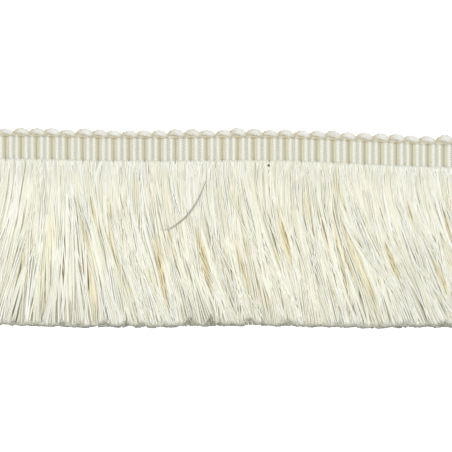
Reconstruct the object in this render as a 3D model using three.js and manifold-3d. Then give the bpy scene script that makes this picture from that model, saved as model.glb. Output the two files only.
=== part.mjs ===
// Moss fringe trim: a short cut length of brush fringe, lying flat on its back.
// It has a ribbed woven heading, a looped edge of twisted yarn along the heading's top, and a thick
// skirt of cut yarn below it, in a front row and a back row.
// Units are millimetres. +X runs along the trim, +Y towards the looped edge, +Z out of the front.
// The origin is the middle of the heading's flat back, on the surface that the trim lies on.
import * as THREE from "three";
import Module from "manifold-3d";

const wasm = await Module();
wasm.setup();

// Driving dimensions
const ribPitch = 3.92; // one pair of ribs along the heading
const ribPairs = 30;
const headingWidth = 5.8;
const skirtLength = 41.2; // from the heading's lower edge to the cut ends
const clearance = 0.3; // between neighbouring pieces
const trimLength = ribPitch * ribPairs;
const headingTop = headingWidth / 2;
const headingFoot = -headingWidth / 2;

// Height of the heading's front across one pair of ribs. Places are shares of the pitch.
const ribProfile = [
  { place: 0.0, height: 0.85 },
  { place: 0.08, height: 1.5 },
  { place: 0.22, height: 1.88 },
  { place: 0.38, height: 1.9 },
  { place: 0.53, height: 1.58 },
  { place: 0.66, height: 1.86 },
  { place: 0.8, height: 1.84 },
  { place: 0.93, height: 1.45 },
];

// The ribs round over towards the looped edge. The drop is a share of the rib's height.
const ribShoulder = { width: 0.4, drop: 0.22 };

// The trim doesn't lie quite straight: how far it has moved towards +Y at each place along it.
const wander = [
  { place: -60, rise: 0.5 },
  { place: -44, rise: 0.2 },
  { place: -31, rise: -0.05 },
  { place: -12, rise: -0.1 },
  { place: 4, rise: 0.05 },
  { place: 15, rise: -0.15 },
  { place: 26, rise: -0.55 },
  { place: 39, rise: -1.0 },
  { place: 51, rise: -1.5 },
  { place: 60, rise: -1.65 },
];

// How the skirt has been combed: the slant of its yarn from straight down, in degrees, along the trim.
const combing = [
  { place: -60, slant: -13 },
  { place: -48, slant: -8 },
  { place: -38, slant: -1 },
  { place: -26, slant: 4 },
  { place: -10, slant: 8 },
  { place: 10, slant: 11 },
  { place: 28, slant: 14 },
  { place: 44, slant: 17 },
  { place: 60, slant: 15 },
];

// The two rows of the skirt. Each has its own narrow strip that holds the roots of its locks,
// and two layers of locks, whose roots stand in turn along the strip. locks is the count in a layer.
const rows = [
  { name: "fringe_back", locks: 44, stripLow: 0.08, stripHigh: 0.72 },
  { name: "fringe_front", locks: 72, stripLow: 1.02, stripHigh: 1.66 },
];
const stripWidth = 1.5;
const rootInset = 0.35; // how far a lock's root stays inside its strip, from the strip's edge
const rootMargin = 0.1; // the same, from the strip's faces

// The layers of locks, from the surface up. low and high are the heights that a layer fills,
// short is how far its cut ends stop before the longest ones, and pinch is how much the tips gather.
const layers = [
  { row: "fringe_back", phase: 0.25, low: 0.0, high: 1.15, short: 0.0, pinch: 0.2, turn: 0 },
  { row: "fringe_back", phase: 0.75, low: 1.4, high: 2.5, short: 0.45, pinch: 0.3, turn: -1.5 },
  { row: "fringe_front", phase: 0.25, low: 2.8, high: 3.9, short: 0.95, pinch: 0.25, turn: 1.5 },
  { row: "fringe_front", phase: 0.75, low: 4.15, high: 5.4, short: 1.5, pinch: 0.3, turn: 0 },
];

// Places along a lock, as shares of its length: where it has left its strip, where it has reached
// the height of its layer, where it has its full width, and its other bends
const leaving = 0.045;
const settledBy = 0.2;
const fullBy = 0.32;
const lockSteps = [0, leaving, 0.13, fullBy, 0.66, 1];
const lockFill = 0.84; // a lock's width as a share of the room to its nearest neighbour
const rootFill = 0.7; // a root's width as a share of the room between roots
const ridges = { least: 0.7, most: 1 }; // a lock's height as a share of its layer's
const bow = 0.9; // how much of a lock's lean comes in its upper half
const swirl = { size: 0.55, wave: 23 }; // the skirt's gentle sideways waves
const tuft = { least: 3, most: 6, loose: 0.6, tight: 1.2 }; // locks that gather at their tips
const raggedCut = 0.35;
const unevenness = 11; // the seed of the fringe's unevenness, the same each time

// The looped edge: a core cord along the heading's top, with a loop of yarn over each deep groove
// of the heading. along is a share of the rib pitch, and out is the way from the heading's top.
const core = { radius: 0.4, height: 0.75 };
const yarnSides = 5;
const bendSteps = 15; // straight pieces in a bar that follows the wander
const loopSteps = 4;
const loopPath = [
  { along: -0.51, out: 0.7, height: 0.85, radius: 0.36 },
  { along: -0.33, out: 1.35, height: 1.25, radius: 0.5 },
  { along: 0.0, out: 1.68, height: 1.3, radius: 0.58 },
  { along: 0.3, out: 1.4, height: 1.0, radius: 0.52 },
  { along: 0.51, out: 0.7, height: 0.7, radius: 0.36 },
];

const yarnMaterial = (colour, roughness) =>
  new THREE.MeshStandardMaterial({ color: colour, roughness, metalness: 0 });
const finishes = {
  heading: yarnMaterial(0xe2ddc6, 0.55),
  looped_edge: yarnMaterial(0xdcd8c4, 0.6),
  fringe_back: yarnMaterial(0xd9d2b2, 0.45),
  fringe_front: yarnMaterial(0xeceada, 0.4),
};

// Straight-line reading of a short table at a place
function readTable(table, key, place) {
  const next = table.findIndex((row) => row.place >= place);
  if (next < 0) return table[table.length - 1][key];
  if (next === 0) return table[0][key];
  const [a, b] = [table[next - 1], table[next]];
  return THREE.MathUtils.mapLinear(place, a.place, b.place, a[key], b[key]);
}

const rise = (x) => readTable(wander, "rise", x);
const smooth = THREE.MathUtils.smoothstep;
const mix = THREE.MathUtils.lerp;
const random = THREE.MathUtils.seededRandom;
const slope = (degrees) => Math.tan(THREE.MathUtils.degToRad(degrees));

// Moves every vertex of a geometry by a function of its point
function reshape(geometry, move) {
  const position = geometry.getAttribute("position");
  const point = new THREE.Vector3();
  for (let i = 0; i < position.count; i++) {
    point.fromBufferAttribute(position, i);
    move(point);
    position.setXYZ(i, point.x, point.y, point.z);
  }
  return geometry;
}

// A closed geometry as a solid for joining and cutting
function solidOf(geometry) {
  const corners = geometry.index ? geometry.toNonIndexed() : geometry;
  const source = corners.getAttribute("position");
  const found = new Map();
  const places = [];
  const triVerts = new Uint32Array(source.count);
  for (let i = 0; i < source.count; i++) {
    const point = [source.getX(i), source.getY(i), source.getZ(i)];
    const key = point.map((v) => v.toFixed(5)).join();
    if (!found.has(key)) {
      found.set(key, found.size);
      places.push(...point);
    }
    triVerts[i] = found.get(key);
  }
  return new wasm.Manifold(
    new wasm.Mesh({ numProp: 3, vertProperties: new Float32Array(places), triVerts }),
  );
}

// A solid back as a geometry
function geometryOf(solid) {
  const mesh = solid.getMesh();
  const geometry = new THREE.BufferGeometry();
  geometry.setAttribute("position", new THREE.BufferAttribute(mesh.vertProperties, 3));
  geometry.setIndex(new THREE.BufferAttribute(mesh.triVerts, 1));
  geometry.computeVertexNormals();
  return geometry;
}

function meshOf(name, geometry) {
  const mesh = new THREE.Mesh(geometry, finishes[name]);
  mesh.name = name;
  return mesh;
}

// A straight bar between the trim's two ends that follows the way the trim lies, in even steps
function barAlong(outline) {
  const bar = new THREE.ExtrudeGeometry(outline, {
    depth: trimLength,
    steps: bendSteps,
    bevelEnabled: false,
  });
  return reshape(bar, (p) => {
    const [across, up, along] = [p.x, p.y, p.z - trimLength / 2];
    p.set(along, across + rise(along), up);
  });
}

// The heading: a flat-backed band whose front rises and falls along the trim as its ribs do
function makeHeading() {
  const rib = ribProfile.length;
  const steps = ribPairs * rib;
  const section = new THREE.Shape([
    new THREE.Vector2(headingFoot, 0),
    new THREE.Vector2(headingTop, 0),
    new THREE.Vector2(headingTop, 1 - ribShoulder.drop),
    new THREE.Vector2(headingTop - ribShoulder.width, 1),
    new THREE.Vector2(headingFoot, 1),
  ]);
  const band = new THREE.ExtrudeGeometry(section, { depth: steps, steps, bevelEnabled: false });
  return reshape(band, (p) => {
    const step = Math.round(p.z);
    const { place, height } = ribProfile[step % rib];
    const along = (Math.floor(step / rib) + place) * ribPitch - trimLength / 2;
    p.set(along, p.x + rise(along), p.y * height);
  });
}

// A many-sided outline of a yarn
function yarnOutline(radius) {
  const circle = new THREE.EllipseCurve(0, 0, radius, radius);
  return new THREE.Shape(circle.getPoints(yarnSides).slice(0, yarnSides));
}

// A loop of yarn over one groove, thick in the middle and fine at both ends
function makeLoop(groove) {
  const line = new THREE.CatmullRomCurve3(
    loopPath.map(({ along, out, height }) => new THREE.Vector3(along * ribPitch, out, height)),
  );
  const girths = new THREE.SplineCurve(loopPath.map(({ radius }, i) => new THREE.Vector2(i, radius)));
  const loop = new THREE.ExtrudeGeometry(yarnOutline(1), {
    depth: 1,
    steps: loopSteps,
    bevelEnabled: false,
  });
  const up = new THREE.Vector3(0, 0, 1);
  return reshape(loop, (p) => {
    const share = p.z;
    const forward = line.getTangent(share);
    const sideways = up.clone().cross(forward).normalize();
    const upward = forward.clone().cross(sideways);
    const girth = girths.getPoint(share).y;
    const { x: across, y: above } = p;
    p.copy(line.getPoint(share));
    p.addScaledVector(sideways, across * girth);
    p.addScaledVector(upward, above * girth);
    p.x += groove;
    p.y += headingTop + rise(groove);
  });
}

// The looped edge: every loop and the core cord joined, and cut off square at the trim's ends
function makeLoopedEdge() {
  const cord = barAlong(yarnOutline(core.radius));
  cord.translate(0, headingTop + clearance + core.radius, core.height);
  const loops = [];
  for (let groove = 0; groove <= ribPairs; groove++)
    loops.push(solidOf(makeLoop(groove * ribPitch - trimLength / 2)));
  const reach = 2 * headingWidth;
  const kept = new THREE.BoxGeometry(trimLength, 2 * reach, 2 * reach);
  return geometryOf(wasm.Manifold.union([solidOf(cord), ...loops]).intersect(solidOf(kept)));
}

// Where each lock of a layer has its root and its tip along the trim, in order from -X to +X
function lockEnds({ phase, short, pinch, turn }, locks) {
  const rootOf = (index) => ((index + phase) / locks - 0.5) * trimLength;
  const tipBelow = (x) => x + slope(readTable(combing, "slant", x) + turn) * skirtLength;
  const ends = [];
  while (ends.length < locks) {
    const first = ends.length;
    const size = Math.min(Math.round(mix(tuft.least, tuft.most, random())), locks - first);
    const middle = rootOf(first + (size - 1) / 2);
    const gather = pinch * mix(tuft.loose, tuft.tight, random());
    for (let index = first; index < first + size; index++)
      ends.push({
        root: rootOf(index),
        tip: mix(tipBelow(rootOf(index)), tipBelow(middle), gather),
        cut: short + raggedCut * random(),
        full: mix(ridges.least, ridges.most, random()),
      });
  }
  return ends;
}

// The line that a lock follows along the trim, at a share of its length
function lockPlace({ root, tip }, share) {
  const leaned = share * share * (1 + bow * (1 - share));
  const wave = swirl.size * Math.sin((root / swirl.wave) * 2 * Math.PI) * Math.sin(Math.PI * share);
  return mix(root, tip, leaned) + wave;
}

// A lock of yarn: a three-sided bar with its ridge on top, flat below, tapered into its strip
function makeLock(ends, index, layer, { locks, stripLow, stripHigh }) {
  const lock = ends[index];
  const neighbours = [ends[index - 1], ends[index + 1]].filter((near) => near);
  const section = new THREE.Shape([
    new THREE.Vector2(-0.5, 0),
    new THREE.Vector2(0.5, 0),
    new THREE.Vector2(0, 1),
  ]);
  const steps = lockSteps.length - 1;
  const bar = new THREE.ExtrudeGeometry(section, { depth: steps, steps, bevelEnabled: false });
  const head = headingFoot - clearance - rootInset + rise(lock.root);
  const foot = headingFoot - skirtLength + lock.cut;
  const rootWidth = (rootFill * trimLength) / (2 * locks);
  const ridgeHeight = mix(layer.low, layer.high, lock.full);
  return reshape(bar, (p) => {
    const share = lockSteps[Math.round(p.z)];
    const place = lockPlace(lock, share);
    const room = Math.min(...neighbours.map((near) => Math.abs(lockPlace(near, share) - place)));
    const width = mix(rootWidth, room * lockFill, smooth(share, leaving, fullBy));
    const settled = smooth(share, leaving, settledBy);
    const low = mix(stripLow + rootMargin, layer.low, settled);
    const high = mix(stripHigh - rootMargin, ridgeHeight, settled);
    p.set(place + p.x * width, mix(head, foot, share), mix(low, high, p.y));
  });
}

// One row of the skirt: its strip and all its locks joined into one solid
function makeFringe(row) {
  const stripTop = headingFoot - clearance;
  const outline = new THREE.Shape([
    new THREE.Vector2(stripTop - stripWidth, row.stripLow),
    new THREE.Vector2(stripTop, row.stripLow),
    new THREE.Vector2(stripTop, row.stripHigh),
    new THREE.Vector2(stripTop - stripWidth, row.stripHigh),
  ]);
  const strip = solidOf(barAlong(outline));
  const locks = layers
    .filter((layer) => layer.row === row.name)
    .flatMap((layer) => {
      const ends = lockEnds(layer, row.locks);
      return ends.map((_, index) => solidOf(makeLock(ends, index, layer, row)));
    });
  return geometryOf(wasm.Manifold.union([strip, ...locks]));
}

random(unevenness);
const trim = new THREE.Group();
trim.add(meshOf("heading", makeHeading()));
trim.add(meshOf("looped_edge", makeLoopedEdge()));
for (const row of rows) trim.add(meshOf(row.name, makeFringe(row)));

export default trim;
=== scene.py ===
"""Moss fringe trim: a cut length of thick cream fringe, lying flat and seen from straight above.

The heading is a ribbed weave, its upper edge is a row of loops of twisted yarn over a core cord,
and the skirt below it is thousands of cut yarns, combed sideways and laid in layers.
Sizes are in millimetres times MM. +X runs along the trim, +Y towards the loops, +Z up.
"""

import math

import bmesh
import bpy
import numpy as np
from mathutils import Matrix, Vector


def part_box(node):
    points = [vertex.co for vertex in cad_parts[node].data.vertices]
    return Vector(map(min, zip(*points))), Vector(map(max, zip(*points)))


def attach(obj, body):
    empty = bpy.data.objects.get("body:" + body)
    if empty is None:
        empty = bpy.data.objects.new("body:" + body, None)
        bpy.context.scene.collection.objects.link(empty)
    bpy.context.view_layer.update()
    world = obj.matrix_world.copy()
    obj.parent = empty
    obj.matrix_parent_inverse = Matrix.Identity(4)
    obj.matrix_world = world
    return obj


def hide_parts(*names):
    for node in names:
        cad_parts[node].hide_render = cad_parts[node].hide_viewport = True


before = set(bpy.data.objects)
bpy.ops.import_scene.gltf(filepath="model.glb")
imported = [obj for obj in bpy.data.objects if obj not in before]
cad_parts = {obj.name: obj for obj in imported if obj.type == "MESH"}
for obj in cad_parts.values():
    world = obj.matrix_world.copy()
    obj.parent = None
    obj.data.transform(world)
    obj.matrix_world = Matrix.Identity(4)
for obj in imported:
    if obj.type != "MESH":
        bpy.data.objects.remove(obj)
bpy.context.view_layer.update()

MM = 0.001

# Sizes of the trim
heading_low, heading_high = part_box("heading")
trim_left = heading_low.x
trim_right = heading_high.x
rib_pairs = 30
rib_pitch = (trim_right - trim_left) / rib_pairs
heading_width = 5.8 * MM
heading_top = heading_width / 2
heading_foot = -heading_width / 2
skirt_length = 41.55 * MM
cut_line = heading_foot - skirt_length

# How far the trim moves towards +Y at each place along it, both in millimetres
WANDER = [
    (-60, 0.68), (-44, 0.48), (-31, 0.13), (-12, 0.08), (4, 0.23),
    (15, 0.15), (26, -0.27), (39, -0.88), (51, -1.44), (60, -1.6),
]

# How far the ribs lie to the right of an even spacing: place along the trim and shift, in mm
PACE = [
    (-58.8, 0), (-54, 0.22), (-39, 0), (-24, -0.25), (-8, -0.5),
    (23, -0.5), (29, -0.3), (39, -0.2), (55, -0.05), (58.8, 0),
]

# The combing of the skirt: place along the trim in mm, slant in degrees from straight down
COMBING = [
    (-60, -15), (-48, -11), (-44, -4), (-40, 4), (-35, 9), (-26, 9.5), (-10, 9.5),
    (10, 11), (18, 10.5), (24, 12), (30, 15.5), (44, 17), (60, 16),
]


def read_table(table, place):
    """The straight-line reading of a table of pairs at one place or an array of places."""
    places, values = zip(*table)
    return np.interp(place, places, values)


def rise(x):
    return read_table(WANDER, x / MM) * MM


def pace(x):
    return read_table(PACE, x / MM) * MM


def smooth_step(value, low, high):
    share = np.clip((value - low) / (high - low), 0, 1)
    return share * share * (3 - 2 * share)


def mix(low, high, share):
    return low + (high - low) * share


# Camera

def add_camera():
    """A long lens straight above the trim, at a distance in metres."""
    field = 113 * MM
    middle_x, middle_y = 0.375 * MM, -19.1 * MM
    distance = 1.2
    data = bpy.data.cameras.new("camera")
    data.angle = 2 * math.atan(field / 2 / distance)
    data.clip_start = 0.05
    data.clip_end = 10
    camera = bpy.data.objects.new("camera", data)
    camera.location = (middle_x, middle_y, distance)
    bpy.context.scene.collection.objects.link(camera)
    bpy.context.scene.camera = camera


add_camera()


# Shapes

def yarn_template(rings, sides):
    """A closed straight yarn of unit radius.

    It gives the corners, each face's number of corners, the faces' corners one after another, and
    which faces are the caps. Its rings stand at whole heights from 0, so a height names a ring.
    """
    shape = bmesh.new()
    bmesh.ops.create_cone(
        shape, cap_ends=True, segments=sides, radius1=1, radius2=1, depth=rings - 1
    )
    upright = [e for e in shape.edges if e.verts[0].co.z != e.verts[1].co.z]
    bmesh.ops.subdivide_edges(shape, edges=upright, cuts=rings - 2, use_grid_fill=True)
    bmesh.ops.translate(shape, verts=shape.verts, vec=(0, 0, (rings - 1) / 2))
    shape.verts.index_update()
    corners = np.array([v.co for v in shape.verts])
    counts = np.array([len(f.verts) for f in shape.faces])
    faces = np.array([v.index for f in shape.faces for v in f.verts])
    caps = np.array([abs(f.normal.z) > abs(f.normal.x) + abs(f.normal.y) for f in shape.faces])
    shape.free()
    return corners, counts, faces, caps


def frame_lines(lines):
    """The sideways and upward directions at each point of lines that run along the floor."""
    forward = np.gradient(lines, axis=1)
    forward /= np.linalg.norm(forward, axis=2, keepdims=True)
    sideways = np.cross(np.broadcast_to((0, 0, 1), forward.shape), forward)
    sideways /= np.linalg.norm(sideways, axis=2, keepdims=True)
    return sideways, np.cross(forward, sideways)


def sweep_yarns(name, lines, half_widths, half_heights, sides, marks):
    """One piece of many yarns. lines is yarns x rings x 3, the half sizes are yarns x rings.

    marks are named values, yarns x rings, that the materials read. The mark flank is added here:
    0 on a yarn's crown and 1 on its sides and underneath, where the materials paint shade.
    """
    yarns, rings, _ = lines.shape
    corners, counts, faces, caps = yarn_template(rings, sides)
    ring = np.rint(corners[:, 2]).astype(int)
    sideways, upward = frame_lines(lines)
    points = (
        lines[:, ring]
        + sideways[:, ring] * (half_widths[:, ring] * corners[:, 0])[..., None]
        + upward[:, ring] * (half_heights[:, ring] * corners[:, 1])[..., None]
    )
    mesh = bpy.data.meshes.new(name)
    mesh.vertices.add(yarns * len(corners))
    mesh.vertices.foreach_set("co", points.ravel())
    first_corner = np.arange(yarns)[:, None] * len(corners)
    mesh.loops.add(yarns * len(faces))
    mesh.loops.foreach_set("vertex_index", (faces + first_corner).ravel())
    mesh.polygons.add(yarns * len(counts))
    starts = np.concatenate([[0], np.cumsum(counts)[:-1]])
    first_loop = np.arange(yarns)[:, None] * len(faces)
    mesh.polygons.foreach_set("loop_start", (starts + first_loop).ravel())
    mesh.polygons.foreach_set("use_smooth", np.tile(~caps, yarns))
    mesh.update(calc_edges=True)
    mesh.validate()
    flank = np.clip(1 - corners[:, 1], 0, 1)
    set_mark(mesh, "flank", np.tile(flank, yarns))
    for mark, values in marks.items():
        set_mark(mesh, mark, values[:, ring].ravel())
    return add_piece(name, mesh)


def set_mark(mesh, mark, values):
    layer = mesh.attributes.new(mark, "FLOAT", "POINT")
    layer.data.foreach_set("value", values.astype(np.float32))


def add_piece(name, mesh):
    piece = bpy.data.objects.new(name, mesh)
    bpy.context.scene.collection.objects.link(piece)
    return piece


def finish_piece(piece, material, slot, *nodes):
    """Gives a piece its material and puts it in the place of its CAD nodes. The slot is not used."""
    piece.data.materials.append(material)
    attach(piece, "root")
    if nodes:
        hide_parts(*nodes)


# Heading: ribs in pairs, with two low ribs between one pair and the next

# Places are shares of the rib pitch from one deep groove to the next, heights are millimetres
RIBS = [
    {"middle": 0.085, "half_width": 0.075, "height": 1.3},
    {"middle": 0.32, "half_width": 0.2, "height": 1.92},
    {"middle": 0.725, "half_width": 0.19, "height": 1.9},
    {"middle": 0.92, "half_width": 0.07, "height": 1.3},
]
rib_roundness = 2.0
groove_floor = 0.9
thread_pitch = 0.54 * MM
thread_relief = 0.1  # how far the line between two threads lies below them, in millimetres
even_grey = 0.4  # the part of the grey that is as strong on the threads as between them
lined_grey = 1.4  # the part that grows towards the line between two threads, as painted shade
columns_per_pair = 28
front_rows = 76
weld_distance = 0.001 * MM
end_facing = 0.99  # faces that look along the trim more than this are its ends
edge_facing = 0.01  # faces that look up or down less than this are its edges
edge_round = 0.45 * MM  # how near its upper edge the band rounds over
edge_drop = 0.3  # how much of its height it loses there
foot_shown = 0.4  # how much of the painted tan shade and the grey shows at the foot, where the skirt hides it
foot_reach = 0.5 * MM
loop_shade = 0.8  # how dark the painted shade under the loops makes the tan
loop_shade_reach = (0.8 * MM, 0.1 * MM)  # where it starts and is full, from the upper edge

# Painted tan shade, grey thread and painted dark shade at each share of the rib pitch
TAN_SHADE_BANDS = [
    (0.0, 1.0), (0.06, 0.85), (0.12, 0.6), (0.17, 0.42), (0.22, 0.2), (0.28, 0.0),
    (0.74, 0.0), (0.79, 0.25), (0.85, 0.55), (0.91, 0.75), (0.97, 1.0), (1.0, 1.0),
]
GREY_BANDS = [(0.36, 0.0), (0.46, 0.55), (0.525, 0.9), (0.59, 0.55), (0.68, 0.0)]
DARK_SHADE_BANDS = [(0.0, 0.8), (0.03, 0.1), (0.1, 0.0), (0.9, 0.0), (0.965, 0.1), (1.0, 0.8)]


def rib_surface(x, y):
    """Height of the heading's front at many points, and its thread's marks.

    The marks say how much painted tan shade and painted dark shade a point gets, how grey its
    thread is, with painted shade added to the grey towards the line between two threads, and how
    near a point is to that line.
    """
    share = ((x - pace(x) - trim_left) / rib_pitch) % 1
    height = np.full_like(x, groove_floor)
    crossing = np.zeros_like(x)
    for number, rib in enumerate(RIBS):
        across = np.clip(np.abs(share - rib["middle"]) / rib["half_width"], 0, 1)
        swell = (1 - across**rib_roundness) ** (1 / rib_roundness)
        threads = np.abs(np.cos(np.pi * (y / thread_pitch + number / 2)))
        body = (rib["height"] - groove_floor) * swell
        relief = thread_relief * (threads - 1) * (across < 1)
        this_rib = groove_floor + body + relief
        crossing = np.where(this_rib > height, 1 - threads, crossing)
        height = np.maximum(height, this_rib)
    tan = read_table(TAN_SHADE_BANDS, share)
    grey = read_table(GREY_BANDS, share)
    dark = read_table(DARK_SHADE_BANDS, share)
    return height * MM, tan, grey * (even_grey + lined_grey * crossing), dark, crossing


def build_heading():
    """A closed band: a grid rolled round the heading's front, top side, back and foot."""
    columns = rib_pairs * columns_per_pair
    # Across the band and the share of the front's height, round the section from the foot
    front = [(share, 1.0) for share in np.linspace(0, 1, front_rows + 1)]
    section = np.array([*front, (1, 0.5), (1, 0), (0.66, 0), (0.33, 0), (0, 0), (0, 0.5)])
    shape = bmesh.new()
    bmesh.ops.create_grid(shape, x_segments=columns, y_segments=len(section), size=0.5)
    mesh = bpy.data.meshes.new("heading_weave")
    shape.to_mesh(mesh)
    shape.free()
    flat = np.zeros(len(mesh.vertices) * 3)
    mesh.vertices.foreach_get("co", flat)
    flat = flat.reshape(-1, 3)
    x = mix(trim_left, trim_right, flat[:, 0] + 0.5)
    step = np.rint((flat[:, 1] + 0.5) * len(section)).astype(int) % len(section)
    across, level = section[step].T
    y = mix(heading_foot, heading_top, across)
    height, tan, grey, dark, between = rib_surface(x, y)
    # The ribs round over at the band's upper edge
    top_round = 1 - edge_drop * (1 - smooth_step(heading_top - y, 0, edge_round))
    places = np.column_stack([x, y + rise(x), height * level * top_round])
    mesh.vertices.foreach_set("co", places.ravel())
    # At the foot the skirt's yarns hide the grey thread and the painted tan shade
    shown = mix(foot_shown, 1, smooth_step(y - heading_foot, 0, foot_reach))
    shade_start, shade_full = loop_shade_reach
    under_loops = smooth_step(y, heading_top - shade_start, heading_top - shade_full)
    set_mark(mesh, "tan", tan * shown)
    set_mark(mesh, "grey", grey * shown)
    # Painted shade along the lines between threads
    set_mark(mesh, "between", between * level)
    # Painted shade under the loops and in the deep grooves
    set_mark(mesh, "nook", np.maximum(loop_shade * under_loops * tan, dark) * level)
    shape = bmesh.new()
    shape.from_mesh(mesh)
    bmesh.ops.remove_doubles(shape, verts=shape.verts, dist=weld_distance)
    bmesh.ops.holes_fill(shape, edges=[e for e in shape.edges if e.is_boundary])
    bmesh.ops.recalc_face_normals(shape, faces=shape.faces)
    for face in shape.faces:
        face.smooth = abs(face.normal.x) < end_facing and abs(face.normal.z) > edge_facing
    shape.to_mesh(mesh)
    shape.free()
    return add_piece("heading_weave", mesh)


# Looped edge: a core cord of three plies, and a three-ply loop over each deep groove

core_radius = 0.44 * MM
core_height = 0.75 * MM
core_offset = 0.2 * MM  # from the heading's edge to the core's middle: the heading's turn holds it

# The way a loop takes from left to right: along the trim from its groove, out from the heading's
# top, height and radius, in millimetres. Its right end lies on the start of the next loop.
LOOP_PATH = [
    {"along": -2.0, "out": 0.2, "height": 0.5, "radius": 0.34},
    {"along": -1.75, "out": 0.65, "height": 0.8, "radius": 0.5},
    {"along": -1.1, "out": 1.15, "height": 1.2, "radius": 0.66},
    {"along": -0.2, "out": 1.32, "height": 1.4, "radius": 0.78},
    {"along": 0.8, "out": 1.15, "height": 1.45, "radius": 0.78},
    {"along": 1.6, "out": 0.68, "height": 1.4, "radius": 0.68},
    {"along": 2.1, "out": 0.2, "height": 1.1, "radius": 0.45},
]

plies = 3
ply_offset = 0.47  # from the yarn's middle to a ply's, as a share of the yarn's radius
ply_reach = 1.06  # how far the plies reach, as a share of the yarn's radius
corner_roundings = 3
loop_rings = 26
loop_sides = 8
loop_turns = 1.7
size_spread = 0.08  # how much the loops differ in size, as a share
shift_spread = 0.2 * MM  # how far they stray from their grooves
lift_spread = 0.05  # how much they differ in height, as a share
start_shade = (0.2, 0.6)  # where a loop has come out from under the one before it
end_shade = (0.74, 0.95)  # where it goes down into the heading
core_rings_per_pair = 12
core_sides = 7
core_turns_per_pair = 1.5
core_tint = 0.5
core_shade = 0.45  # how deep in shade the cord lies between two grooves
groove_sharpness = 4


def plied(lines, radii, turns, phase):
    """The plies that twist round lines: their own lines and radii. turns is the number of twists."""
    rings = lines.shape[1]
    sideways, upward = frame_lines(lines)
    all_lines = []
    for ply in range(plies):
        angle = np.linspace(0, turns, rings)[None, :] + ply / plies + phase[:, None]
        angle = angle * 2 * math.pi
        around = np.cos(angle)[..., None] * sideways + np.sin(angle)[..., None] * upward
        all_lines.append(lines + around * (radii * ply_offset)[..., None])
    thickness = np.concatenate([radii * (ply_reach - ply_offset)] * plies)
    return np.concatenate(all_lines), thickness


def groove_places():
    """The deep grooves between the trim's two ends."""
    even = trim_left + rib_pitch * np.arange(1, rib_pairs)
    return even + pace(even)


def build_loops(random):
    share = np.linspace(0, 1, loop_rings)
    stations = np.linspace(0, 1, len(LOOP_PATH))
    along, out, height, radius = (
        np.interp(share, stations, [row[key] for row in LOOP_PATH]) * MM
        for key in ("along", "out", "height", "radius")
    )
    # The table's corners are rounded by averaging each point with its neighbours
    for _ in range(corner_roundings):
        for values in (along, out, height, radius):
            values[1:-1] = (values[:-2] + values[1:-1] + values[2:]) / 3
    grooves = groove_places()
    loops = len(grooves)
    size = random.normal(1, size_spread, loops)[:, None]
    shift = random.normal(0, shift_spread, loops)[:, None]
    lift = random.normal(1, lift_spread, loops)[:, None]
    x = grooves[:, None] + shift + along
    y = heading_top + rise(x) + out * size
    z = height * lift + 0 * x
    lines = np.stack([x, y, z], axis=2)
    lines, radii = plied(lines, radius * size, loop_turns, random.uniform(0, 1, loops))
    tint = np.repeat(random.normal(0, 1, len(lines))[:, None], loop_rings, axis=1)
    # A loop starts deep under the one before it, and its end goes down into the heading: both are
    # painted in shade
    depth = np.maximum(1 - smooth_step(share, *start_shade), smooth_step(share, *end_shade))
    marks = {"tint": tint, "depth": np.broadcast_to(depth, tint.shape)}
    return sweep_yarns("looped_yarn", lines, radii, radii, loop_sides, marks)


def build_core(random):
    rings = rib_pairs * core_rings_per_pair + 1
    x = np.linspace(trim_left, trim_right, rings)
    y = heading_top + core_offset + rise(x)
    z = np.full(rings, core_height)
    lines = np.stack([x, y, z], axis=1)[None]
    radii = np.full((1, rings), core_radius)
    lines, radii = plied(lines, radii, core_turns_per_pair * rib_pairs, np.zeros(1))
    tint = np.repeat(random.normal(0, core_tint, len(lines))[:, None], rings, axis=1)
    # The cord lies in the deepest shade over each deep groove
    groove = 0.5 + 0.5 * np.cos(2 * math.pi * (x - pace(x) - trim_left) / rib_pitch)
    depth = mix(core_shade, 1, groove**groove_sharpness)
    marks = {"tint": tint, "depth": np.broadcast_to(depth, tint.shape)}
    return sweep_yarns("core_cord", lines, radii, radii, core_sides, marks)
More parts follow.
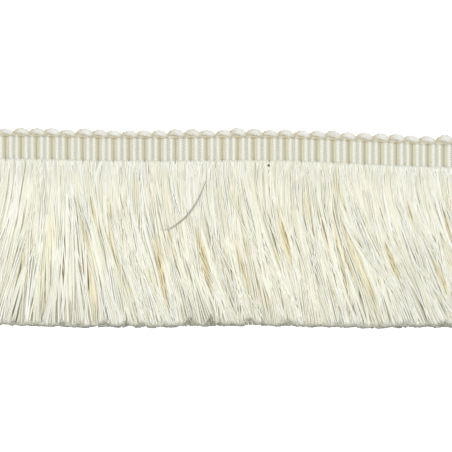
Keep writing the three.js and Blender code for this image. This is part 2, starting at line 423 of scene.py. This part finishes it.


# Skirt: layers of sheets of yarns. Yarns lie in ribbons, and ribbons in locks.

# The layers from the surface up. low and high are the heights that a layer's yarns fill, root_low
# and root_high the same at the heading, and width is a yarn's, all in millimetres. spread is how
# much the ribbons' lean differs, in degrees, part how far the layer opens at the partings, cross
# how far single yarns cross the others, in millimetres, and pale how much paler the yarns are
# painted, a painted highlight on the stray yarns that lie on top.
LAYERS = [
    {"name": "skirt_back_lower", "node": "fringe_back", "sheets": 3, "yarns": 300, "rings": 10,
     "width": 0.44, "root_low": 0.2, "root_high": 0.42, "low": 0.24, "high": 1.0,
     "spread": 1.8, "part": 0.0, "cross": 0.0, "pale": 0.0},
    {"name": "skirt_back_upper", "node": "fringe_back", "sheets": 3, "yarns": 350, "rings": 10,
     "width": 0.4, "root_low": 0.5, "root_high": 0.78, "low": 1.3, "high": 2.2,
     "spread": 1.8, "part": 0.0, "cross": 0.0, "pale": 0.0},
    {"name": "skirt_front_lower", "node": "fringe_front", "sheets": 3, "yarns": 420, "rings": 11,
     "width": 0.38, "root_low": 0.86, "root_high": 1.06, "low": 2.45, "high": 3.25,
     "spread": 1.8, "part": 0.0, "cross": 0.0, "pale": 0.0},
    {"name": "skirt_front_middle", "node": "fringe_front", "sheets": 3, "yarns": 420, "rings": 12,
     "width": 0.46, "root_low": 1.2, "root_high": 1.4, "low": 3.7, "high": 4.1,
     "spread": 1.8, "part": 0.0, "cross": 0.0, "pale": 0.0},
    {"name": "skirt_front_upper", "node": "fringe_front", "sheets": 3, "yarns": 430, "rings": 16,
     "width": 0.46, "root_low": 1.5, "root_high": 1.66, "low": 4.25, "high": 4.55,
     "spread": 2.2, "part": 0.0, "cross": 0.0, "pale": 0.0},
    {"name": "skirt_front_top", "node": "fringe_front", "sheets": 3, "yarns": 420, "rings": 18,
     "width": 0.38, "root_low": 1.7, "root_high": 1.82, "low": 4.65, "high": 4.95,
     "spread": 3.0, "part": 1.0, "cross": 0.0, "pale": 0.0},
    {"name": "skirt_strays", "node": "fringe_front", "sheets": 1, "yarns": 220, "rings": 18,
     "width": 0.34, "root_low": 1.84, "root_high": 1.84, "low": 5.1, "high": 5.1,
     "spread": 5.0, "part": 0.0, "cross": 1.1, "pale": 0.8},
]
skirt_top = 4.95 * MM
lock_widths = (2.2 * MM, 5.0 * MM)
ribbon_widths = (0.4 * MM, 1.5 * MM)
yarn_sides = 4
end_ring = 0.018  # the share of a yarn's length from each end to the ring next to it
ring_spread, ring_growth = 0.7, 0.3  # how far the rings stand apart, and how that grows

# The next values say how yarns lie. A stretch is where something comes on along a yarn, from one
# share of its length to another. A wave is its size and its least and most number of half waves.

# Sideways
root_places = (0.35, 0.65)  # a root's place in its own share of the row
notch = 0.1  # the share of a rib pair's width that its yarns leave free at the heading
notch_stretch = (0, 0.03)
bow = 0.85  # the higher, the more of a yarn's lean comes in its upper half
straight_root = 0.04  # the share of a yarn's length at its root that doesn't lean
lock_lean = 1.6  # how much the locks' lean differs, in degrees
yarn_lean = 0.2  # the same for the yarns
ribbon_fan = 0.4 * MM  # how far a ribbon strays from its root's line, just below it
fan_place = 0.09  # the share of its length where it strays most
cross_place = 0.2  # the same for the single yarns that cross the others
swirl_size = 0.55 * MM  # the slow sideways wave of the whole skirt
swirl_length = 23 * MM
ribbon_gather = 0.16  # how much a ribbon's yarns draw together half way down
lock_wave = (0.35 * MM, (1.0, 2.0))
ribbon_wave = (0.28 * MM, (1.6, 3.4))
yarn_wave = (0.03 * MM, (1.5, 3.5))
wave_stretch = (0, 0.18)

# In height
settle_stretch = (0, 0.44)  # from the root's height to the layer's
lock_lift = (0.14 * MM, (0.6, 1.6))
ribbon_lift = (0.12 * MM, (1.6, 4.5))
yarn_lift = 0.03 * MM
yarn_lift_stretch = (0, 0.2)
crown_size = 0.13 * MM  # how much higher a ribbon's middle lies than its edges
crown_middle = 0.4  # the share of that by which the middle is raised
crown_stretch = (0.03, 0.3)

# In width
width_range = (0.85, 1.15)  # the thinnest and the thickest yarn, as shares of the layer's width
tip_width = 1.15  # a yarn's width at its tip, as a share of its width at the root
flatness = 0.5  # a yarn's height as a share of its width
fan_reach = 3 * MM  # how far to each side the combing is compared, to see how it fans out
most_fanned = 2.2  # the most that yarns widen where it does
top_narrowness = 0.6  # how much less of that the top yarns take

# In colour: painted tan shade deep in the skirt and in the partings, painted grey shade near the
# root, and grey at the tip
yarn_tint, ribbon_tint, lock_tint = 0.9, 0.3, 0.2
tan_reach = 0.9 * MM  # how far below the top the painted tan shade is full
root_tan = 0.3  # how much of the tan shows at the root
tan_stretch = (0, 0.3)
root_shade = 0.21
root_shade_stretch = (0.03, 0.2)  # where the painted grey shade at the root fades
tip_grey = 0.18
tip_grey_stretch = (0.78, 0.98)
left_grey = 0.1  # more of it, and from further up, at the trim's left end
left_grey_stretch = (0.45, 0.85)
left_grey_fade = (-46 * MM, -30 * MM)
tip_pale = 0.4  # how much of the tan is lost towards the tip
tip_pale_stretch = (0.8, 0.97)
cut_stretch = (0.98, 1.0)  # the cut end itself, which gets painted grey shade and not tan
cut_shade_range = (0.1, 1.4)  # how much painted grey shade the cut ends get, the least and the most
cut_shade_fall = 0.6  # how fast that painted shade lessens towards the top yarns
deep_cut_shade = 3  # how fast the lowest yarns' full painted shade gives way to that

# The cut edge: place along the trim and how far it strays from a straight line, in millimetres
CUT_WANDER = [
    (-68, 0.4), (-56, 0.35), (-48, 0.1), (-42, -0.1), (-34, -0.25), (-28, -0.05), (-22, -0.2),
    (-16, -0.3), (-11, 0.05), (-6, -0.05), (0, 0.15), (6, 0.25), (12, 0.2), (20, -0.05),
    (28, -0.15), (33, -0.25), (38.5, -0.55), (41, -0.25), (50, -0.15), (60, -0.25), (72, 0.0),
]
cut_slope = 0.75 * MM  # how far the top yarns' cut ends stop before the lowest ones
nibble_size = 0.12 * MM  # the cut line's small unevenness, and the lengths of its two waves
nibble_lengths = (0.9 * MM, 3.1 * MM)
ragged_yarn = 0.2 * MM  # how much shorter than the cut line single yarns are
ragged_ribbon = 0.3 * MM  # the same for ribbons
ragged_least = 0.3  # the share of both that the lowest yarns have
short_range = (0.75, 1.1)  # how much of a short place's shortness a yarn takes
short_reach = 0.42  # how far a short place reaches to each side, as a share of its width
tuck = (0.05, 0.12)  # how far inside the heading's foot a root starts, in millimetres

# Where the upper yarns were cut shorter: middle, width and how much shorter, in millimetres
SHORT_PLACES = [
    (-52.6, 1.4, 0.9), (-40.5, 2.0, 0.7), (-36, 2.2, 0.7), (-29.8, 3.2, 1.0), (-24.4, 1.6, 0.9),
    (-20.4, 2.4, 0.8), (-8.5, 2.8, 1.9), (-3.4, 2.2, 2.4), (-1.2, 1.4, 1.1), (6.5, 2.4, 1.5),
    (9.6, 1.2, 0.7), (16.1, 3.0, 0.8), (38.6, 2.0, 0.6), (44.8, 4.2, 0.7), (51.1, 2.0, 0.6),
    (54.9, 3.4, 0.8),
]

# Long lens-shaped partings of the upper yarns: x and y of both ends and the width, in millimetres
PARTINGS = [
    (-56.0, -17.6, -56.6, -23.1, 0.5), (-48.7, -28.0, -50.1, -36.6, 0.5),
    (-43.0, -17.6, -42.2, -23.1, 0.5), (-35.4, -16.8, -33.3, -27.3, 0.5),
    (-33.9, -11.6, -31.7, -19.8, 0.6), (-32.6, -31.8, -31.1, -40.3, 0.5),
    (-28.6, -11.6, -28.4, -19.1, 0.6), (-17.9, -17.3, -13.7, -43.6, 1.3),
    (-14.1, -19.1, -13.1, -24.6, 0.6), (-7.4, -17.1, -2.6, -39.1, 1.6),
    (0.8, -17.6, 7.7, -39.3, 0.6), (9.3, -33.1, 11.3, -42.3, 0.5),
    (11.8, -20.1, 13.7, -29.3, 0.5), (13.3, -14.8, 17.2, -30.6, 1.3),
    (22.8, -11.6, 27.4, -30.6, 0.6), (26.2, -13.1, 31.8, -42.6, 0.5),
    (34.3, -28.6, 38.6, -42.6, 0.6), (39.2, -22.1, 44.5, -34.3, 1.3),
    (45.2, -11.6, 47.6, -20.8, 0.6), (51.0, -26.1, 57.0, -37.8, 0.9),
    (54.7, -14.1, 56.4, -24.1, 0.5),
]
parting_reach = 2.2 * MM  # how far from a parting the yarns are pushed aside
parting_levels = (0.7, 1.15)  # how far it opens in the lowest and in the top sheet of the layer
parting_tan = 0.6  # how far its painted tan shade reaches to each side, as a share of its width
parting_edge = 0.03 * MM  # and how much further


def ring_shares(rings):
    """Places of a yarn's rings, as shares of its length.

    One lies close to each end, and the others stand wider apart towards the tip.
    """
    even = np.linspace(0, 1, rings - 2)[1:-1]
    inner = even * (ring_spread + ring_growth * even)
    return np.concatenate([[0, end_ring], inner, [1 - end_ring, 1]])


def hang(share):
    """How much of its lean a yarn has at a share of its length: none at its root, all at its tip."""
    share = np.maximum(share - straight_root, 0) / (1 - straight_root)
    return share * share * (1 + bow * (1 - share))


def slant(x):
    return np.tan(np.radians(read_table(COMBING, x / MM)))


def fanned_out(root, share):
    """How much further apart than at their roots the combing lays the yarns, at each share."""
    slant_change = (slant(root + fan_reach) - slant(root - fan_reach)) / (2 * fan_reach)
    return np.clip(1 + skirt_length * slant_change[:, None] * hang(share), 1, most_fanned)


def bundle(random, root, low, high):
    """Ties yarns into bundles by their roots: each yarn's bundle number and its place in it."""
    edges = [trim_left]
    while edges[-1] < trim_right:
        edges.append(edges[-1] + random.uniform(low, high))
    edges = np.array(edges)
    number = np.searchsorted(edges, root) - 1
    middle = (edges[number] + edges[number + 1]) / 2
    half_width = (edges[number + 1] - edges[number]) / 2
    return number, middle, (root - middle) / half_width


def pick(random, number, size):
    """A random value of about this size for each bundle, as a column with a row for each yarn."""
    return random.normal(0, size, number.max() + 1)[number][:, None]


def sway(random, number, size, bends, share):
    """A slow wave along each bundle that starts past the root. bends is its range of half waves."""
    bundles = number.max() + 1
    turns = random.uniform(*bends, bundles)[number][:, None]
    start = random.uniform(0, 2, bundles)[number][:, None]
    wave = np.sin(np.pi * (share * turns + start))
    return pick(random, number, size) * wave * smooth_step(share, *wave_stretch)


def parting_shape(x, y, top_x, top_y, foot_x, foot_y):
    """Three values for each point: how far open the parting is at its height, from 0 to 1, how far
    to the right of the parting it lies, and its share of the way down the parting.
    """
    share = (y / MM - top_y) / (foot_y - top_y)
    return np.sin(np.pi * np.clip(share, 0, 1)), x - mix(top_x, foot_x, share) * MM, share


def find_partings(x, y):
    """How much each point lies in a parting: 1 in the middle of one."""
    inside = np.zeros(x.shape)
    for *ends, width in PARTINGS:
        lens, away, _ = parting_shape(x, y, *ends)
        half_width = parting_tan * width * MM * lens + parting_edge
        inside = np.maximum(inside, np.sqrt(lens) * np.exp(-((away / half_width) ** 2)))
    return inside


def open_partings(x, y, amount):
    """The yarns' sideways places, yarns x rings, once each stays on one side of each parting."""
    for *ends, width in PARTINGS:
        lens, away, share = parting_shape(x, y, *ends)
        at_middle = np.abs(share - 0.5).argmin(axis=1)[:, None]
        side = np.where(np.take_along_axis(away, at_middle, axis=1) < 0, -1, 1)
        clear = side * away
        opened = (clear + np.sqrt(clear**2 + (amount * width * MM * lens) ** 2)) / 2
        near = np.exp(-((clear / parting_reach) ** 2))
        x = x + side * (opened - clear) * np.sqrt(lens) * near
    return x


def cut_shortness(x):
    """How much shorter the upper yarns are at each place along the trim."""
    shorter = np.zeros(x.shape)
    for middle, width, amount in SHORT_PLACES:
        near = np.exp(-(((x / MM - middle) / (short_reach * width)) ** 2))
        shorter = np.maximum(shorter, amount * MM * near)
    return shorter


def comb_sheet(random, layer, level):
    """One sheet of yarns: their lines, half widths, half heights and marks.

    level is the sheet's height in its layer, from 0 to 1.
    """
    yarns = layer["yarns"]
    share = ring_shares(layer["rings"])[None, :]
    spacing = (trim_right - trim_left) / yarns
    root = trim_left + spacing * (np.arange(yarns) + random.uniform(*root_places, yarns))
    alone = np.arange(yarns)
    lock, lock_middle, _ = bundle(random, root, *lock_widths)
    ribbon, ribbon_middle, place = bundle(random, root, *ribbon_widths)
    place = place[:, None]

    # Sideways: out of the gaps between rib pairs, then the lean and the waves
    pair = (root - pace(root) - trim_left) / rib_pitch
    gap_side = pair % 1 - 0.5
    squeezed = root - gap_side * notch * rib_pitch
    start = mix(squeezed[:, None], root[:, None], smooth_step(share, *notch_stretch))
    lean = slant(lock_middle)[:, None] + np.tan(
        pick(random, lock, math.radians(lock_lean))
        + pick(random, ribbon, math.radians(layer["spread"]))
        + pick(random, alone, math.radians(yarn_lean))
    )
    fan = pick(random, ribbon, ribbon_fan) * (share / fan_place) * np.exp(1 - share / fan_place)
    if layer["cross"]:
        crossing = (share / cross_place) * np.exp(1 - share / cross_place)
        fan = fan + pick(random, alone, layer["cross"] * MM) * crossing
    swirl = swirl_size * np.sin(2 * np.pi * root[:, None] / swirl_length) * np.sin(np.pi * share)
    gather = np.abs(pick(random, ribbon, ribbon_gather)) * np.sin(np.pi * share)
    x = (
        start
        + lean * skirt_length * hang(share)
        + fan
        + swirl
        + sway(random, lock, *lock_wave, share)
        + sway(random, ribbon, *ribbon_wave, share)
        + sway(random, alone, *yarn_wave, share)
        - (root - ribbon_middle)[:, None] * gather
    )

    # Along the yarn: from the heading's foot to the cut edge, where the top yarns stop first
    top_share = mix(layer["low"], layer["high"], level) * MM / skirt_top
    reach = cut_line + read_table(CUT_WANDER, x[:, -1] / MM) * MM
    short_wave, long_wave = (np.sin(x[:, -1] / length) for length in nibble_lengths)
    reach = reach + nibble_size * short_wave * long_wave
    ragged = np.abs(pick(random, alone, ragged_yarn)) + np.abs(pick(random, ribbon, ragged_ribbon))
    uneven = random.uniform(*short_range, yarns)
    shorter = (cut_slope + cut_shortness(x[:, -1]) * uneven) * top_share
    tip = (reach + shorter)[:, None] + ragged * mix(ragged_least, 1, top_share)
    head = heading_foot + rise(squeezed) + random.uniform(*tuck, yarns) * MM
    y = mix(head[:, None], tip, share)
    if layer["part"]:
        x = open_partings(x, y, layer["part"] * mix(*parting_levels, level))

    # Height: from the heading to the sheet's own, with ribbons that pass over each other
    root_height = mix(layer["root_low"], layer["root_high"], level) * MM
    full_height = mix(layer["low"], layer["high"], level) * MM
    settled = smooth_step(share, *settle_stretch)
    lift = sway(random, lock, *lock_lift, share)
    lift = lift + sway(random, ribbon, *ribbon_lift, share)
    crown = crown_size * (crown_middle - place**2) * smooth_step(share, *crown_stretch)
    stray = pick(random, alone, yarn_lift) * smooth_step(share, *yarn_lift_stretch)
    half_width = layer["width"] / 2 * MM * random.uniform(*width_range, yarns)[:, None]
    half_width = half_width * mix(1, tip_width, share)
    half_width = half_width * mix(1, fanned_out(root, share), 1 - top_narrowness * top_share)
    half_height = half_width * flatness
    z = mix(root_height, full_height, settled) + lift + crown + stray
    z = np.maximum(z, half_height)

    # Colour
    # The stray yarns' pale is a painted highlight
    tint = (
        yarn_tint * pick(random, alone, 1)
        + ribbon_tint * pick(random, ribbon, 1)
        + lock_tint * pick(random, lock, 1)
        - layer["pale"]
    )
    sunk = (skirt_top - full_height - lift - crown) / tan_reach
    tan = np.clip(sunk, 0, 1) * mix(root_tan, 1, smooth_step(share, *tan_stretch))
    cut_shade = random.uniform(*cut_shade_range, yarns)[:, None] * (1 - top_share) ** cut_shade_fall
    cut_shade = np.maximum(cut_shade, 1 - deep_cut_shade * top_share)
    left_end = 1 - smooth_step(x, *left_grey_fade)
    grey = (
        root_shade * (1 - smooth_step(share, *root_shade_stretch))
        + tip_grey * smooth_step(share, *tip_grey_stretch)
        + left_grey * left_end * smooth_step(share, *left_grey_stretch)
    )
    cut = smooth_step(share, *cut_stretch)
    # Painted tan shade on deep yarns and on the yarns seen in a parting
    depth = np.maximum(tan, find_partings(x, y))
    depth = depth * (1 - tip_pale * smooth_step(share, *tip_pale_stretch)) * (1 - cut)
    marks = {
        "tint": tint + 0 * share,
        "depth": depth,
        "grey": np.maximum(cut * cut_shade, grey),
    }
    return np.stack([x, y, z], axis=2), half_width, half_height, marks


def build_layer(random, layer):
    sheets = [
        comb_sheet(random, layer, level) for level in np.linspace(0, 1, layer["sheets"])
    ]
    lines, half_widths, half_heights = (
        np.concatenate([sheet[part] for sheet in sheets]) for part in range(3)
    )
    marks = {
        mark: np.concatenate([sheet[3][mark] for sheet in sheets]) for mark in sheets[0][3]
    }
    return sweep_yarns(layer["name"], lines, half_widths, half_heights, yarn_sides, marks)


# A fine dark filament that lies loose on the skirt, and a short dark end of yarn by the heading

# x, y and height over the surface, in millimetres
FILAMENT_PATH = [
    (-4.6, -7.8, 4.4), (-5.6, -10.4, 5.0), (-6.7, -13.0, 5.3), (-8.9, -16.2, 5.45),
    (-11.1, -18.2, 5.45), (-13.4, -19.8, 5.4), (-14.7, -20.2, 5.2), (-16.4, -19.8, 5.0),
]
FLECK_PATH = [(10.95, -3.75, 2.05), (11.05, -4.2, 2.2)]
filament_sides = 6
path_roundings = 12
end_thickness = 0.45  # a filament's thickness at both ends, as a share of its full thickness
taper_reach = 0.2  # how far from each end it tapers, as a share of its length
fade_stretch = (0.6, 0.95)  # where it fades towards its far end


def build_filament(name, path, radius, rings, tint, paleness):
    """A loose thread. A higher tint makes it darker, and paleness is how far its far end fades."""
    stations = np.linspace(0, 1, len(path))
    share = np.linspace(0, 1, rings)
    line = np.stack([np.interp(share, stations, values) for values in zip(*path)], axis=1)
    # The path's corners are rounded by averaging each point with its neighbours
    for _ in range(path_roundings):
        line[1:-1] = (line[:-2] + line[1:-1] + line[2:]) / 3
    taper = mix(end_thickness, 1, smooth_step(np.minimum(share, 1 - share), 0, taper_reach))
    radii = (radius * taper)[None]
    pale = paleness * smooth_step(share, *fade_stretch)
    marks = {"tint": np.full((1, rings), tint), "depth": pale[None]}
    return sweep_yarns(name, line[None] * MM, radii, radii, filament_sides, marks)


# Materials. Colours are red, green, blue and opacity.

# The sockets of the colour mixer that are used, by number
MIXER = {"share": 0, "low": 6, "high": 7, "result": 2}
fibre_stretch = (1, 0.12, 1)  # fibres are long down the skirt
fibre_depth = 0.03 * MM


def new_group(name, inputs, outputs):
    """An empty shader node group with named sockets."""
    group = bpy.data.node_groups.new(name, "ShaderNodeTree")
    for title, kind, value in inputs:
        socket = group.interface.new_socket(title, in_out="INPUT", socket_type=kind)
        if value is not None:
            socket.default_value = value
    for title, kind in outputs:
        group.interface.new_socket(title, in_out="OUTPUT", socket_type=kind)
    start = group.nodes.new("NodeGroupInput")
    end = group.nodes.new("NodeGroupOutput")
    return group, start, end


def add_node(tree, kind, values=None, **settings):
    """A node with settings by attribute and socket values by name or number."""
    node = tree.nodes.new(kind)
    for key, value in settings.items():
        setattr(node, key, value)
    for key, value in (values or {}).items():
        node.inputs[key].default_value = value
    return node


def feed(tree, socket, value):
    """Links a socket to another one, or gives it a value."""
    if isinstance(value, bpy.types.NodeSocket):
        tree.links.new(value, socket)
    else:
        socket.default_value = value


def do_math(tree, operation, *values, clamp=False):
    node = add_node(tree, "ShaderNodeMath", operation=operation, use_clamp=clamp)
    for socket, value in zip(node.inputs, values):
        feed(tree, socket, value)
    return node.outputs[0]


def blend_colour(tree, share, low, high):
    node = add_node(tree, "ShaderNodeMix", data_type="RGBA")
    for title, value in (("share", share), ("low", low), ("high", high)):
        feed(tree, node.inputs[MIXER[title]], value)
    return node.outputs[MIXER["result"]]


def make_yarn_group():
    """A yarn's uneven dye, painted tan shade on its sides, and the fine fibres along it as a height
    and a roughness.
    """
    tint_weight, least_warmth = 0.2, 0.1
    cloud_weight = 0.4
    flank_weight = 0.42
    fibre_roughness, least_roughness = 0.25, 0.35
    group, start, end = new_group(
        "yarn_fibres",
        [
            ("Position", "NodeSocketVector", None),
            ("Light", "NodeSocketColor", (0.9, 0.9, 0.8, 1)),
            ("Warm", "NodeSocketColor", (0.86, 0.82, 0.65, 1)),
            ("Deep", "NodeSocketColor", (0.8, 0.7, 0.4, 1)),
            ("Tint", "NodeSocketFloat", 0.0),
            ("Depth", "NodeSocketFloat", 0.0),
            ("Flank", "NodeSocketFloat", 0.0),
            ("Grain", "NodeSocketFloat", 3000.0),
        ],
        [
            ("Color", "NodeSocketColor"),
            ("Height", "NodeSocketFloat"),
            ("Roughness", "NodeSocketFloat"),
        ],
    )
    link = group.links.new
    inputs = start.outputs
    grain = add_node(group, "ShaderNodeTexNoise", {"Detail": 3.0, "Roughness": 0.6})
    link(inputs["Position"], grain.inputs["Vector"])
    link(inputs["Grain"], grain.inputs["Scale"])
    cloud = add_node(group, "ShaderNodeTexNoise", {"Scale": 120.0, "Detail": 2.0})
    link(inputs["Position"], cloud.inputs["Vector"])
    warmth = do_math(group, "MULTIPLY_ADD", inputs["Tint"], tint_weight, least_warmth)
    warmth = do_math(group, "MULTIPLY_ADD", cloud.outputs["Fac"], cloud_weight, warmth)
    # Painted shade: a yarn's sides and underside turn warm
    warmth = do_math(group, "MULTIPLY_ADD", inputs["Flank"], flank_weight, warmth, clamp=True)
    colour = blend_colour(group, warmth, inputs["Light"], inputs["Warm"])
    colour = blend_colour(group, inputs["Depth"], colour, inputs["Deep"])
    link(colour, end.inputs["Color"])
    link(grain.outputs["Fac"], end.inputs["Height"])
    fibres = grain.outputs["Fac"]
    roughness = do_math(group, "MULTIPLY_ADD", fibres, fibre_roughness, least_roughness)
    link(roughness, end.inputs["Roughness"])
    return group


def read_mark(tree, name):
    return add_node(tree, "ShaderNodeAttribute", attribute_name=name).outputs["Fac"]


def new_material(name, **sockets):
    """A material with its Principled shader: the values are the same all over."""
    material = bpy.data.materials.new(name)
    material.use_nodes = True
    shader = material.node_tree.nodes["Principled BSDF"]
    for title, value in sockets.items():
        shader.inputs[title.replace("_", " ")].default_value = value
    return material, material.node_tree, shader


def yarn_material(name, group, light, warm, deep, grain, bump, **sockets):
    """A yarn's material: the material, its nodes, its shader, and its colour for more marks."""
    material, tree, shader = new_material(name, **sockets)
    link = tree.links.new
    fibres = tree.nodes.new("ShaderNodeGroup")
    fibres.node_tree = group
    fibres.inputs["Light"].default_value = light
    fibres.inputs["Warm"].default_value = warm
    fibres.inputs["Deep"].default_value = deep
    fibres.inputs["Grain"].default_value = grain
    position = tree.nodes.new("ShaderNodeTexCoord").outputs["Object"]
    stretch = add_node(tree, "ShaderNodeMapping", {"Scale": fibre_stretch})
    link(position, stretch.inputs["Vector"])
    link(stretch.outputs["Vector"], fibres.inputs["Position"])
    for mark in ("Tint", "Depth", "Flank"):
        link(read_mark(tree, mark.lower()), fibres.inputs[mark])
    link(fibres.outputs["Color"], shader.inputs["Base Color"])
    link(fibres.outputs["Roughness"], shader.inputs["Roughness"])
    bumps = add_node(tree, "ShaderNodeBump", {"Strength": bump, "Distance": fibre_depth})
    link(fibres.outputs["Height"], bumps.inputs["Height"])
    link(bumps.outputs["Normal"], shader.inputs["Normal"])
    return material, tree, shader, fibres.outputs["Color"]


def make_heading_material(group):
    tan_groove_shade = (0.64, 0.6, 0.43, 1)
    grey_thread = (0.62, 0.63, 0.55, 1)
    line_shade = (0.5, 0.47, 0.35, 1)
    line_strength = 0.27
    nook_shade = (0.4, 0.35, 0.2, 1)
    material, tree, shader, colour = yarn_material(
        "heading_weave", group,
        light=(0.91, 0.91, 0.83, 1), warm=(0.8, 0.78, 0.66, 1), deep=(0.7, 0.64, 0.45, 1),
        grain=2600.0, bump=0.4, Sheen_Weight=0.1,
    )
    # The tan mark is painted shade round the deep grooves
    colour = blend_colour(tree, read_mark(tree, "tan"), colour, tan_groove_shade)
    colour = blend_colour(tree, read_mark(tree, "grey"), colour, grey_thread)
    # Painted shade along the lines between the threads
    line = do_math(tree, "MULTIPLY", read_mark(tree, "between"), line_strength)
    colour = blend_colour(tree, line, colour, line_shade)
    # Painted shade under the loops and in the deep grooves
    colour = blend_colour(tree, read_mark(tree, "nook"), colour, nook_shade)
    tree.links.new(colour, shader.inputs["Base Color"])
    return material


def make_fringe_material(group):
    grey_and_shade = (0.34, 0.36, 0.31, 1)
    material, tree, shader, colour = yarn_material(
        "fringe_yarn", group,
        light=(0.97, 0.98, 0.92, 1), warm=(0.92, 0.885, 0.64, 1), deep=(0.84, 0.735, 0.42, 1),
        grain=9000.0, bump=0.5, Sheen_Weight=0.05,
    )
    # The grey mark: painted shade near the root and on the cut ends, grey towards the tip and at the
    # left end
    colour = blend_colour(tree, read_mark(tree, "grey"), colour, grey_and_shade)
    tree.links.new(colour, shader.inputs["Base Color"])
    return material


def make_loop_material(group):
    material, *_ = yarn_material(
        "loop_yarn", group,
        light=(0.87, 0.87, 0.83, 1), warm=(0.76, 0.75, 0.66, 1), deep=(0.62, 0.56, 0.38, 1),
        grain=2600.0, bump=0.5, Sheen_Weight=1.0,
    )
    return material


def make_filament_material(group):
    material, *_ = yarn_material(
        "loose_filament", group,
        light=(0.44, 0.42, 0.35, 1), warm=(0.1, 0.1, 0.08, 1), deep=(0.72, 0.71, 0.63, 1),
        grain=2600.0, bump=0.3,
    )
    return material


def make_floor_material():
    """White paper that glows to the camera alone, so that it is as white as a lit backdrop."""
    paper = (0.93, 0.93, 0.93, 1)
    pale_paper = (0.96, 0.96, 0.96, 1)
    black = (0, 0, 0, 1)
    white = (1, 1, 1, 1)
    material, tree, shader = new_material("floor_paper", Roughness=0.9, Emission_Strength=0.8)
    position = tree.nodes.new("ShaderNodeTexCoord").outputs["Object"]
    grain = add_node(tree, "ShaderNodeTexNoise", {"Scale": 400.0, "Detail": 4.0})
    tree.links.new(position, grain.inputs["Vector"])
    colour = blend_colour(tree, grain.outputs["Fac"], paper, pale_paper)
    tree.links.new(colour, shader.inputs["Base Color"])
    seen = tree.nodes.new("ShaderNodeLightPath").outputs["Is Camera Ray"]
    glow = blend_colour(tree, seen, black, white)
    tree.links.new(glow, shader.inputs["Emission Color"])
    return material


# Stage: floor and light

def build_floor():
    half_side = 3  # metres
    drop = 0.05 * MM  # below the trim, so that the two don't touch
    shape = bmesh.new()
    bmesh.ops.create_grid(shape, x_segments=1, y_segments=1, size=half_side)
    bmesh.ops.translate(shape, verts=shape.verts, vec=(0, 0, -drop))
    mesh = bpy.data.meshes.new("floor")
    shape.to_mesh(mesh)
    shape.free()
    floor = add_piece("floor", mesh)
    mesh.materials.append(make_floor_material())


def add_light(name, azimuth, elevation, distance, size, power):
    """A square soft light that faces the skirt. Azimuth 0 is the +Y side."""
    aim_y = -0.02
    data = bpy.data.lights.new(name, "AREA")
    data.shape = "SQUARE"
    data.size = size
    data.energy = power
    light = bpy.data.objects.new(name, data)
    turn = math.radians(azimuth)
    lift = math.radians(elevation)
    light.location = (
        distance * math.cos(lift) * math.sin(turn),
        distance * math.cos(lift) * math.cos(turn) + aim_y,
        distance * math.sin(lift),
    )
    light.rotation_euler = (lift - math.pi / 2, 0, -turn)
    bpy.context.scene.collection.objects.link(light)


def light_stage():
    add_light("key", azimuth=18, elevation=80, distance=0.9, size=0.6, power=4.25)
    add_light("fill", azimuth=235, elevation=50, distance=0.8, size=0.6, power=0.8)
    world = bpy.data.worlds.new("studio")
    world.use_nodes = True
    background = world.node_tree.nodes["Background"]
    background.inputs["Color"].default_value = (1, 1, 1, 1)
    background.inputs["Strength"].default_value = 0.5
    bpy.context.scene.world = world
    bpy.context.scene.view_settings.view_transform = "Standard"


def build_trim():
    seed = 41
    random = np.random.default_rng(seed)
    yarn_group = make_yarn_group()
    fringe = make_fringe_material(yarn_group)
    finish_piece(build_heading(), make_heading_material(yarn_group), "heading_weave", "heading")
    loop_material = make_loop_material(yarn_group)
    finish_piece(build_loops(random), loop_material, "loop_yarn", "looped_edge")
    finish_piece(build_core(random), loop_material, "loop_yarn")
    for layer in LAYERS:
        finish_piece(build_layer(random, layer), fringe, "fringe_yarn", layer["node"])
    dark = make_filament_material(yarn_group)
    filament = build_filament(
        "loose_filament", FILAMENT_PATH, radius=0.19 * MM, rings=40, tint=-1.6, paleness=0.9
    )
    fleck = build_filament(
        "loose_fleck", FLECK_PATH, radius=0.27 * MM, rings=6, tint=4.0, paleness=0
    )
    finish_piece(filament, dark, "fringe_yarn")
    finish_piece(fleck, dark, "fringe_yarn")


build_trim()
build_floor()
light_stage()
